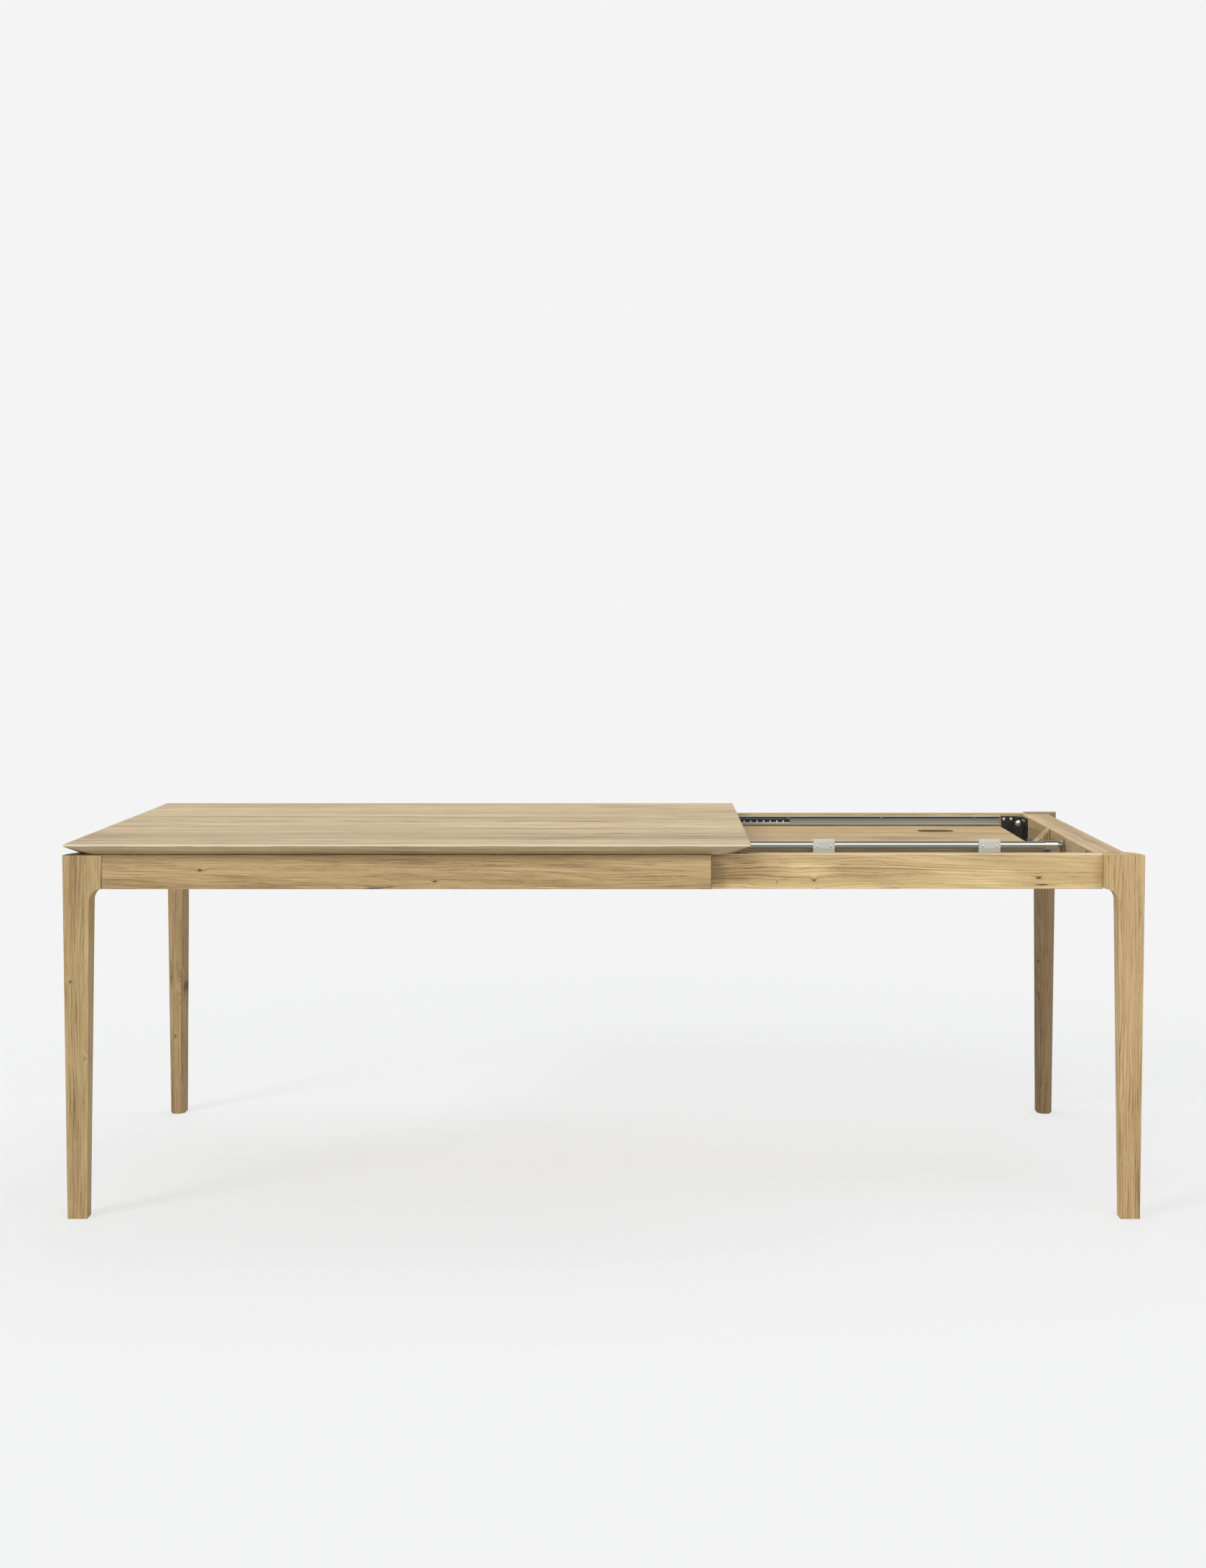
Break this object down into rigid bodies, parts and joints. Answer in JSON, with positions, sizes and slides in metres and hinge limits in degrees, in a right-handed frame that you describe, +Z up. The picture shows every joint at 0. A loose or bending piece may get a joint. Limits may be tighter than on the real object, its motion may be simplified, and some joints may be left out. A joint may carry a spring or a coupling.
{
  "type": "extending dining table",
  "caption": "Oak dining table whose end frame draws out on ball slides, with a folded leaf stored on a pivot tube in the well; tapered legs with rounded ends and a bevel-edged top.",
  "frame": {"origin": "on the floor under the middle of the drawn-out table", "axes": "+X along the table towards the end frame that draws out, -Y the front long side, +Z up"},
  "size_m": [2.2, 0.9, 0.76],
  "materials": {
    "oak": "oiled",
    "zinc_steel": "zinc plated",
    "black_steel": "black coat",
    "chrome": "polished",
    "clip_plastic": "milky"
  },
  "bodies": {
    "main_frame": {"table_top": "oak", "left_front_leg": "oak", "left_rear_leg": "oak", "left_end_rail": "oak", "front_outer_apron": "oak", "rear_outer_apron": "oak", "left_front_bracket": "black_steel", "left_rear_bracket": "black_steel", "left_bolts": "zinc_steel", "left_bracket_screws": "zinc_steel", "top_spacers": "clip_plastic", "apron_screws": "zinc_steel", "rail_angles": "zinc_steel", "angle_screws": "zinc_steel", "front_runner": "zinc_steel", "rear_runner": "zinc_steel", "runner_screws": "zinc_steel"},
    "end_frame": {"right_front_leg": "oak", "right_rear_leg": "oak", "right_end_rail": "oak", "front_inner_apron": "oak", "rear_inner_apron": "oak", "inner_cross_rail": "oak", "leaf_cross_rail": "oak", "front_rail_channel": "zinc_steel", "rear_rail_channel": "zinc_steel", "channel_screws": "zinc_steel", "right_front_bracket": "black_steel", "right_rear_bracket": "black_steel", "right_bolts": "zinc_steel", "right_bracket_screws": "zinc_steel", "end_rail_block": "oak", "left_leaf_ledge": "zinc_steel", "right_leaf_ledge": "zinc_steel", "ledge_screws": "zinc_steel", "leaf_tube": "chrome", "tube_sleeve": "chrome", "left_tube_bracket": "zinc_steel", "right_tube_bracket": "zinc_steel", "tube_bracket_screws": "zinc_steel"},
    "front_cage": {"front_ball_cage": "black_steel", "front_balls": "chrome"},
    "rear_cage": {"rear_ball_cage": "black_steel", "rear_balls": "chrome"},
    "leaf_lower": {"leaf_lower_half": "oak", "leaf_clip_bases": "clip_plastic", "leaf_clip_caps": "clip_plastic", "clip_screws": "zinc_steel", "lower_hinge_plates": "zinc_steel", "hinge_pins": "zinc_steel"},
    "leaf_upper": {"leaf_upper_half": "oak", "upper_hinge_plates": "zinc_steel"}
  },
  "joints": [
    {"name": "extend", "type": "slide", "parent": "main_frame", "child": "end_frame", "axis": [1, 0, 0], "range_m": [-0.8, 0.14]},
    {"name": "front_cage_roll", "type": "slide", "parent": "main_frame", "child": "front_cage", "axis": [1, 0, 0], "range_m": [-0.4, 0.07]},
    {"name": "rear_cage_roll", "type": "slide", "parent": "main_frame", "child": "rear_cage", "axis": [1, 0, 0], "range_m": [-0.4, 0.07]},
    {"name": "leaf_lift", "type": "hinge", "parent": "end_frame", "child": "leaf_lower", "pos_m": [0.57, -0.103, 0.72], "axis": [1, 0, 0], "range_deg": [0, 1.5]},
    {"name": "leaf_fold", "type": "hinge", "parent": "leaf_lower", "child": "leaf_upper", "pos_m": [0.57, -0.092, 0.6935], "axis": [1, 0, 0], "range_deg": [0, 1.5]}
  ],
  "couplings": [
    {"joint": "front_cage_roll", "follows": "extend", "ratio": 0.5},
    {"joint": "rear_cage_roll", "follows": "extend", "ratio": 0.5}
  ]
}
